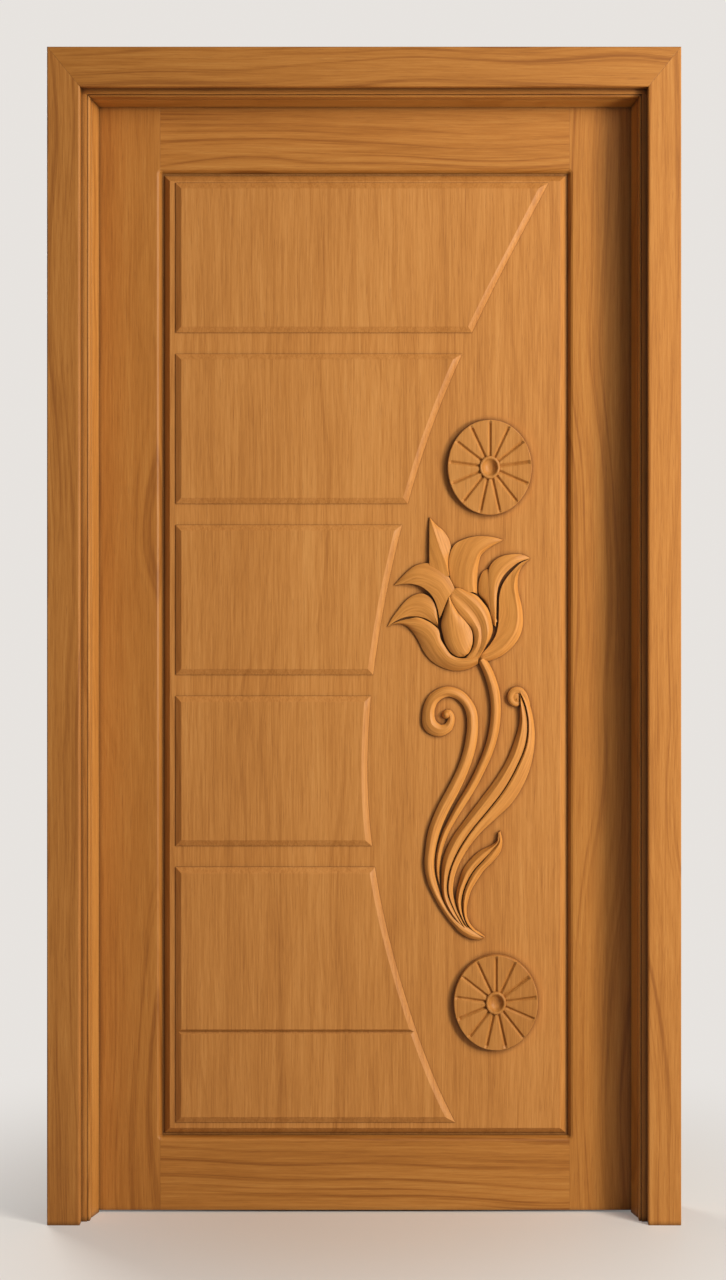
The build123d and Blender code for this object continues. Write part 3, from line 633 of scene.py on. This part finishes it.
def buttons(work):
    """Round hearts of the two scrolls, the right-hand one with its own small spiral."""
    balls = [(446.2, 714.4, 4.4, 4.4, 13.2), (516.2, 697.4, 7.5, 8.5, 9.8), (516.8, 698.8, 2.2, 2.2, 11.4)]
    for x, y, wide, tall, high in balls:
        ball = bmesh.ops.create_uvsphere(work, u_segments=40, v_segments=24, radius=1.0)["verts"]
        size = Matrix.Diagonal((wide * STEM_STEP, tall * STEM_STEP, high * MM, 1))
        middle = ((x - STEM_ORIGIN[0]) * STEM_STEP, (STEM_ORIGIN[1] - y) * STEM_STEP, 0)
        bmesh.ops.transform(work, matrix=Matrix.Translation(middle) @ size, verts=ball)
        body = {part for v in ball for part in (v, *v.link_edges, *v.link_faces)}
        sliced = bmesh.ops.bisect_plane(work, geom=list(body), plane_co=(0, 0, -SUNK),
                                        plane_no=(0, 0, 1), clear_inner=True)["geom_cut"]
        edges = [part for part in sliced if isinstance(part, bmesh.types.BMEdge)]
        bmesh.ops.holes_fill(work, edges=edges, sides=0)
    small = [(1, 4), (0.9, 8), (0.5, 10.2), (0, 10.8), (-0.5, 10.2), (-0.9, 8), (-1, 4)]
    strand(work, [(517, 698.7, 1.6), (519.5, 699.5, 1.8), (519, 702.5, 2.3), (515.5, 703.5, 2.9),
                  (511.8, 700.8, 3.3), (511, 695.5, 3.6), (514, 690.9, 3.8), (519, 690.3, 3.6),
                  (523.5, 694.2, 3.2), (526.8, 701.5, 2.6), (529, 711, 1.9), (530.5, 722, 0.8)], small, 90)


# Rosettes

GROOVES = 13
ROSETTE_TOP = 13 * MM
RIM = 1.5 * MM                          # width of the plain rim outside the grooves
GROOVE_HALF, GROOVE_DEEP = 3.9 * MM, 4.2 * MM           # half of a groove's width, and its depth
INNER = 17 * MM                         # where the grooves start, inside the hub's edge
# Radius and height of the hub's outline in mm, from its foot over its lip into its dish
HUB = [(19.8, -0.8), (19.2, 14.2), (18.2, 15.8), (16.6, 16.4), (15, 16), (13.8, 14.6), (12.4, 12),
       (10.4, 9.6), (7.6, 7.6), (4, 6.3), (0, 5.8)]


def rosette(name, node):
    """Oval boss with V grooves from the hub to a thin rim, and a dished hub."""
    low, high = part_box(node)
    half_w, half_h = (high.x - low.x) / 2, (high.z - low.z) / 2
    work = bmesh.new()
    sections = []
    for turn in range(GROOVES):
        here, there = (pi / 2 + 2 * pi * step / GROOVES for step in (turn, turn + 1))
        lines = [ray(here, side * GROOVE_HALF, half_w, half_h) for side in (-1, 0, 1)]
        edge = ray(there, -GROOVE_HALF, half_w, half_h)
        lines += [[a.lerp(b, share) for a, b in zip(lines[2], edge)] for share in (0.25, 0.5, 0.75)]
        for place, (near, far) in enumerate(lines):
            floor_z = ROSETTE_TOP - GROOVE_DEEP if place == 1 else ROSETTE_TOP
            outer = rim_point(far, half_w, half_h)
            steps = [(near, -SUNK), (near, floor_z), (near.lerp(far, 0.5), floor_z),
                     (near.lerp(far, 0.93), floor_z), (far, ROSETTE_TOP),
                     (far.lerp(outer, 0.6), ROSETTE_TOP), (outer, ROSETTE_TOP - 0.6 * MM),
                     (outer * 1.006, ROSETTE_TOP / 2), (outer * 1.01, -SUNK)]
            sections.append([Vector((point.x, point.y, height)) for point, height in steps])
    sections.append(sections[0])
    ring(work, sections)
    work.from_mesh(turned("hub", HUB, half_h / half_w))
    middle = (low + high) / 2
    shift = Matrix.Translation((middle.x - FLOWER[0], middle.z - FLOWER[1], 0))
    bmesh.ops.transform(work, matrix=shift, verts=work.verts)
    carved(name, work, node, ROSETTE)


def ray(turn, side, half_w, half_h):
    """Start and end of a line that runs outwards beside a groove's middle."""
    out = Vector((half_w * cos(turn), half_h * sin(turn)))
    reach = out.length - RIM
    out = out.normalized()
    aside = Vector((-out.y, out.x)) * side
    return [out * INNER + aside, out * reach + aside]


def rim_point(point, half_w, half_h):
    """The rim's outer edge in the direction of a point."""
    return point / hypot(point.x / half_w, point.y / half_h)


def ring(work, sections):
    """Closed ring-shaped skin through radial cuts, the last the same as the first."""
    laid(work, sections)
    bmesh.ops.remove_doubles(work, verts=work.verts, dist=TINY)
    bmesh.ops.bridge_loops(work, edges=[e for e in work.edges if e.is_boundary])
    bmesh.ops.recalc_face_normals(work, faces=work.faces)
    arrises = [e for e in work.edges if e.is_manifold and e.calc_face_angle() > radians(30)
               and all(len(face.verts) < 5 for face in e.link_faces)]
    ease(work, arrises, 0.35 * MM)


def turned(name, outline, stretch, steps=64):
    """Mesh of a turned piece from (radius, height) points in mm that end on the axis, stretched upwards."""
    work = bmesh.new()
    points = [work.verts.new((radius * MM, 0, height * MM)) for radius, height in outline]
    edges = [work.edges.new(pair) for pair in zip(points, points[1:])]
    bmesh.ops.spin(work, geom=points + edges, cent=(0, 0, 0), axis=(0, 0, 1), angle=2 * pi, steps=steps,
                   use_merge=True)
    bmesh.ops.remove_doubles(work, verts=work.verts, dist=TINY)
    bmesh.ops.holes_fill(work, edges=[e for e in work.edges if e.is_boundary], sides=0)
    bmesh.ops.scale(work, vec=(1, stretch, 1), verts=work.verts)
    return as_mesh(name, work)


# Hinge screws

HEAD_TOP, HEAD_FOOT, HEAD_DEEP = 4.2 * MM, 3.2 * MM, 1.6 * MM       # radii and depth of a screw's head
PROUD = 0.1 * MM                        # of its edge over the plate
SLOT_WAIST = 0.42                       # share of the recess's reach that is left between its arms
SCREWS = ((-42, 9), (-14, 20), (14, 20), (42, 9))       # up from a plate's middle, back from its front edge


def screw_head():
    """Mesh of a countersunk head with a cross recess, facing +Z."""
    work = bmesh.new()
    bmesh.ops.create_cone(work, cap_ends=True, segments=16, radius1=HEAD_FOOT, radius2=HEAD_TOP,
                          depth=HEAD_DEEP, matrix=Matrix.Translation((0, 0, PROUD - HEAD_DEEP / 2)))
    face = max(work.faces, key=lambda f: f.calc_center_median().z)
    inset(work, face, 0.6 * MM, 0.25 * MM)
    inset(work, face, 1.0 * MM, 0.0)
    for vertex in face.verts:
        if round(atan2(vertex.co.y, vertex.co.x) / (pi / 8)) % 4 == 2:
            vertex.co.xy *= SLOT_WAIST
    inset(work, face, 0.1 * MM, -1.0 * MM)
    return as_mesh("screw_head", work)


def inset(work, face, thickness, depth):
    bmesh.ops.inset_region(work, faces=[face], thickness=thickness, depth=depth, use_even_offset=True)


def hinge_screws(side, plane_x, facing):
    """Four screws in each plate of the three hinges on one body, on its free face."""
    head, work = screw_head(), bmesh.new()
    for level in ("top", "middle", "bottom"):
        low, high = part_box(f"hinge_{level}_{side}_plate")
        for up, back in SCREWS:
            count = len(work.verts)
            work.from_mesh(head)
            work.verts.ensure_lookup_table()
            place = Matrix.Translation((plane_x, low.y + back * MM, (low.z + high.z) / 2 + up * MM))
            bmesh.ops.transform(work, matrix=place @ Matrix.Rotation(facing * pi / 2, 4, "Y"),
                                verts=work.verts[count:])
    finished(f"hinge_{side}_screws", work, STEEL, side)


bloom()
stems()
for name in ("rosette_upper", "rosette_lower"):
    rosette(name + "_carved", name)
hinge_screws("frame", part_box("jamb_left")[1].x, 1)
hinge_screws("leaf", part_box("stile_hinge")[0].x, -1)


# Floor, background, lamps and camera

BACKGROUND = (0.80, 0.77, 0.74, 1.0)
FLOOR_SEEN = (0.80, 0.78, 0.76, 1.0)
FLOOR_TO_LIGHT = (0.42, 0.39, 0.36, 1.0)                # darker, so that little light comes up from it
FADE_FROM, FADE_TO = 0.1, 1.5           # from the door's middle, where the floor fades into the background
SOFT_LIGHT, AMBIENT = (1.0, 0.97, 0.93, 1.0), 0.08
# Place, target, width and height, power and colour of each lamp
LAMPS = {
    "key": ((2.4, -2.6, 3.0), (0.0, 0.0, 1.3), (1.5, 1.8), 108.0, (1.0, 0.93, 0.84)),
    "low": ((2.5, -2.2, 1.2), (0.0, 0.0, 0.9), (0.6, 0.6), 66.0, (1.0, 0.92, 0.80)),
    "back": ((-2.0, 3.0, 2.6), (0.0, 0.0, 1.1), (1.6, 1.6), 75.0, (1.0, 0.95, 0.88)),
}
EYE = (0.0856, -5.021, 1.3407)
LENS, SENSOR = 74.5, 36.0
SHIFT = (-0.0367, -0.1039)


def seen_rays(start):
    """1 where a ray from the eye arrives straight, mirrored or through glass, and 0 where light does."""
    straight, mirrored, through = (
        start.feed("ShaderNodeLightPath", output=kind)
        for kind in ("Is Camera Ray", "Is Glossy Ray", "Is Transmission Ray"))
    return start.math("MAXIMUM", start.math("MAXIMUM", straight, mirrored), through)


def floor():
    """Pale floor that keeps the door's shadow and fades into the background."""
    work = bmesh.new()
    bmesh.ops.create_circle(work, cap_ends=True, radius=30.0, segments=96)
    material, start, place = new_material("pale_floor")
    far = start.feed("ShaderNodeVectorMath", {0: place}, {"operation": "LENGTH"}, "Value")
    fade = start.feed("ShaderNodeMapRange", {"Value": far, "From Min": FADE_FROM, "From Max": FADE_TO},
                      {"interpolation_type": "SMOOTHSTEP"})
    seen = seen_rays(start)
    own = start.feed("ShaderNodeBsdfPrincipled", {"Base Color": mix(seen, FLOOR_TO_LIGHT, FLOOR_SEEN),
                                                  "Roughness": 0.6})
    glow = start.feed("ShaderNodeEmission", {"Color": BACKGROUND, "Strength": 1.0})
    both = start.feed("ShaderNodeMixShader", {0: fade * seen, 1: own, 2: glow})
    start.feed("ShaderNodeOutputMaterial", {"Surface": both})
    in_scene("floor", as_mesh("floor", work), material)


def surroundings():
    """Pale background to the eye, even soft light to the door."""
    world = bpy.data.worlds.new("studio")
    bpy.context.scene.world = world
    world.use_nodes = True
    world.node_tree.nodes.clear()
    start = Wire(world.node_tree)
    light = start.feed("ShaderNodeBackground", {"Color": SOFT_LIGHT, "Strength": AMBIENT})
    view = start.feed("ShaderNodeBackground", {"Color": BACKGROUND, "Strength": 1.0})
    both = start.feed("ShaderNodeMixShader", {0: seen_rays(start), 1: light, 2: view})
    start.feed("ShaderNodeOutputWorld", {"Surface": both})


def lamp(name, place, target, size, power, colour):
    data = bpy.data.lights.new(name, "AREA")
    data.shape = "RECTANGLE"
    data.size, data.size_y = size
    data.energy, data.color = power, colour
    light = bpy.data.objects.new(name, data)
    bpy.context.scene.collection.objects.link(light)
    light.location = place
    light.rotation_euler = (Vector(target) - Vector(place)).to_track_quat("-Z", "Y").to_euler()


def camera():
    """Level camera in front of the door, at the height of the eye."""
    data = bpy.data.cameras.new("camera")
    data.lens, data.sensor_width, data.sensor_fit = LENS, SENSOR, "AUTO"
    data.shift_x, data.shift_y = SHIFT
    eye = bpy.data.objects.new("camera", data)
    bpy.context.scene.collection.objects.link(eye)
    eye.location = EYE
    eye.rotation_euler = (pi / 2, 0.0, 0.0)
    bpy.context.scene.camera = eye


floor()
surroundings()
for name, values in LAMPS.items():
    lamp(name, *values)
camera()
bpy.context.scene.view_settings.view_transform = "Standard"
